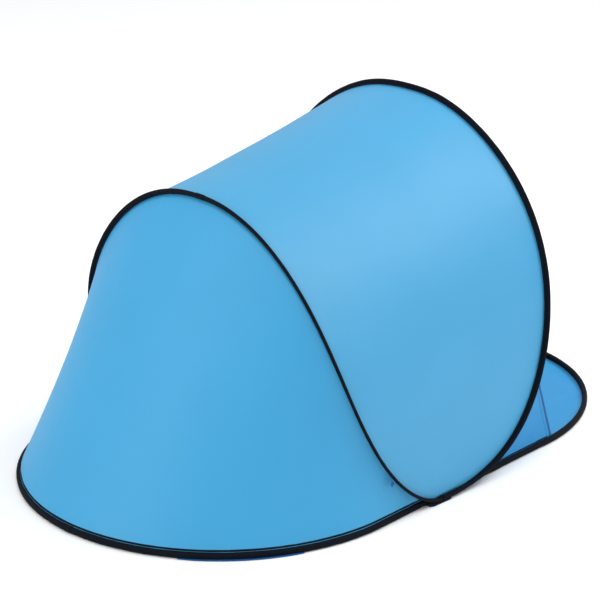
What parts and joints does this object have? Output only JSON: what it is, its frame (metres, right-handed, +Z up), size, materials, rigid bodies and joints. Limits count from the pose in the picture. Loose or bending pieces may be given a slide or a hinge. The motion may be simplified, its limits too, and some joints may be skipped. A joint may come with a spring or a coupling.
{
  "type": "pop up tent",
  "caption": "Open-fronted pop up tent: taut fabric over a roof hoop bent into two arches and a floor hoop, with a flat porch; folds like a book.",
  "frame": {"origin": "middle of the ground footprint, on the ground", "axes": "+Z up, the open front and porch face -Y, the low rear is at +Y, X is across the tent"},
  "size_m": [1.248, 2, 1.036],
  "materials": {
    "panel_fabric": "thin taut polyester taffeta, soft sheen",
    "ground_fabric": "coated polyester",
    "sleeve_fabric": "woven polyester binding",
    "patch_fabric": "woven polyester binding, stitched",
    "trim_fabric": "folded and stitched polyester",
    "spring_wire": "drawn spring-steel wire",
    "ferrule_steel": "crimped steel tube"
  },
  "bodies": {
    "rear_arch": {"rear_arch_rod": "spring_wire", "rear_arch_sleeve": "sleeve_fabric", "rear_arch_ferrule": "ferrule_steel", "rear_arch_sleeve_patch": "patch_fabric", "roof_panel": "panel_fabric", "rear_panel": "panel_fabric", "crossing_patch_left": "patch_fabric", "crossing_patch_right": "patch_fabric", "seam_tab_left": "trim_fabric", "seam_tab_right": "trim_fabric"},
    "front_arch": {"front_arch_rod": "spring_wire", "front_arch_sleeve": "sleeve_fabric"},
    "rear_floor": {"rear_floor_rod": "spring_wire", "rear_floor_sleeve": "sleeve_fabric", "rear_floor_ferrule": "ferrule_steel", "rear_floor_sleeve_patch": "patch_fabric", "rear_groundsheet": "ground_fabric", "floor_seam_tape": "trim_fabric"},
    "porch": {"porch_rod": "spring_wire", "porch_sleeve": "sleeve_fabric", "porch_groundsheet": "ground_fabric", "gusset_left": "panel_fabric", "gusset_right": "panel_fabric", "gusset_hem_left": "trim_fabric", "gusset_hem_right": "trim_fabric"}
  },
  "joints": [
    {"name": "front_arch_fold", "type": "hinge", "parent": "rear_arch", "child": "front_arch", "pos_m": [0, 0.108, 0.01], "axis": [-1, 0, 0], "range_deg": [0, 46], "stiffness_Nm_per_rad": 20, "springref_deg": -8.59, "deforming": ["front_arch_rod", "front_arch_sleeve", "roof_panel"]},
    {"name": "porch_fold", "type": "hinge", "parent": "rear_arch", "child": "porch", "pos_m": [0, 0.108, 0.01], "axis": [-1, 0, 0], "range_deg": [0, 106], "stiffness_Nm_per_rad": 20, "springref_deg": -8.59, "deforming": ["porch_rod", "porch_sleeve", "porch_groundsheet", "gusset_left", "gusset_right", "gusset_hem_left", "gusset_hem_right"]},
    {"name": "rear_floor_fold", "type": "hinge", "parent": "rear_arch", "child": "rear_floor", "pos_m": [0, 0.108, 0.01], "axis": [1, 0, 0], "range_deg": [0, 63], "stiffness_Nm_per_rad": 20, "springref_deg": -8.59, "deforming": ["rear_floor_rod", "rear_floor_sleeve", "rear_groundsheet", "floor_seam_tape", "rear_panel"]}
  ],
  "couplings": [
    {"joint": "porch_fold", "follows": "front_arch_fold", "ratio": 2.3043},
    {"joint": "rear_floor_fold", "follows": "front_arch_fold", "ratio": 1.3695}
  ]
}
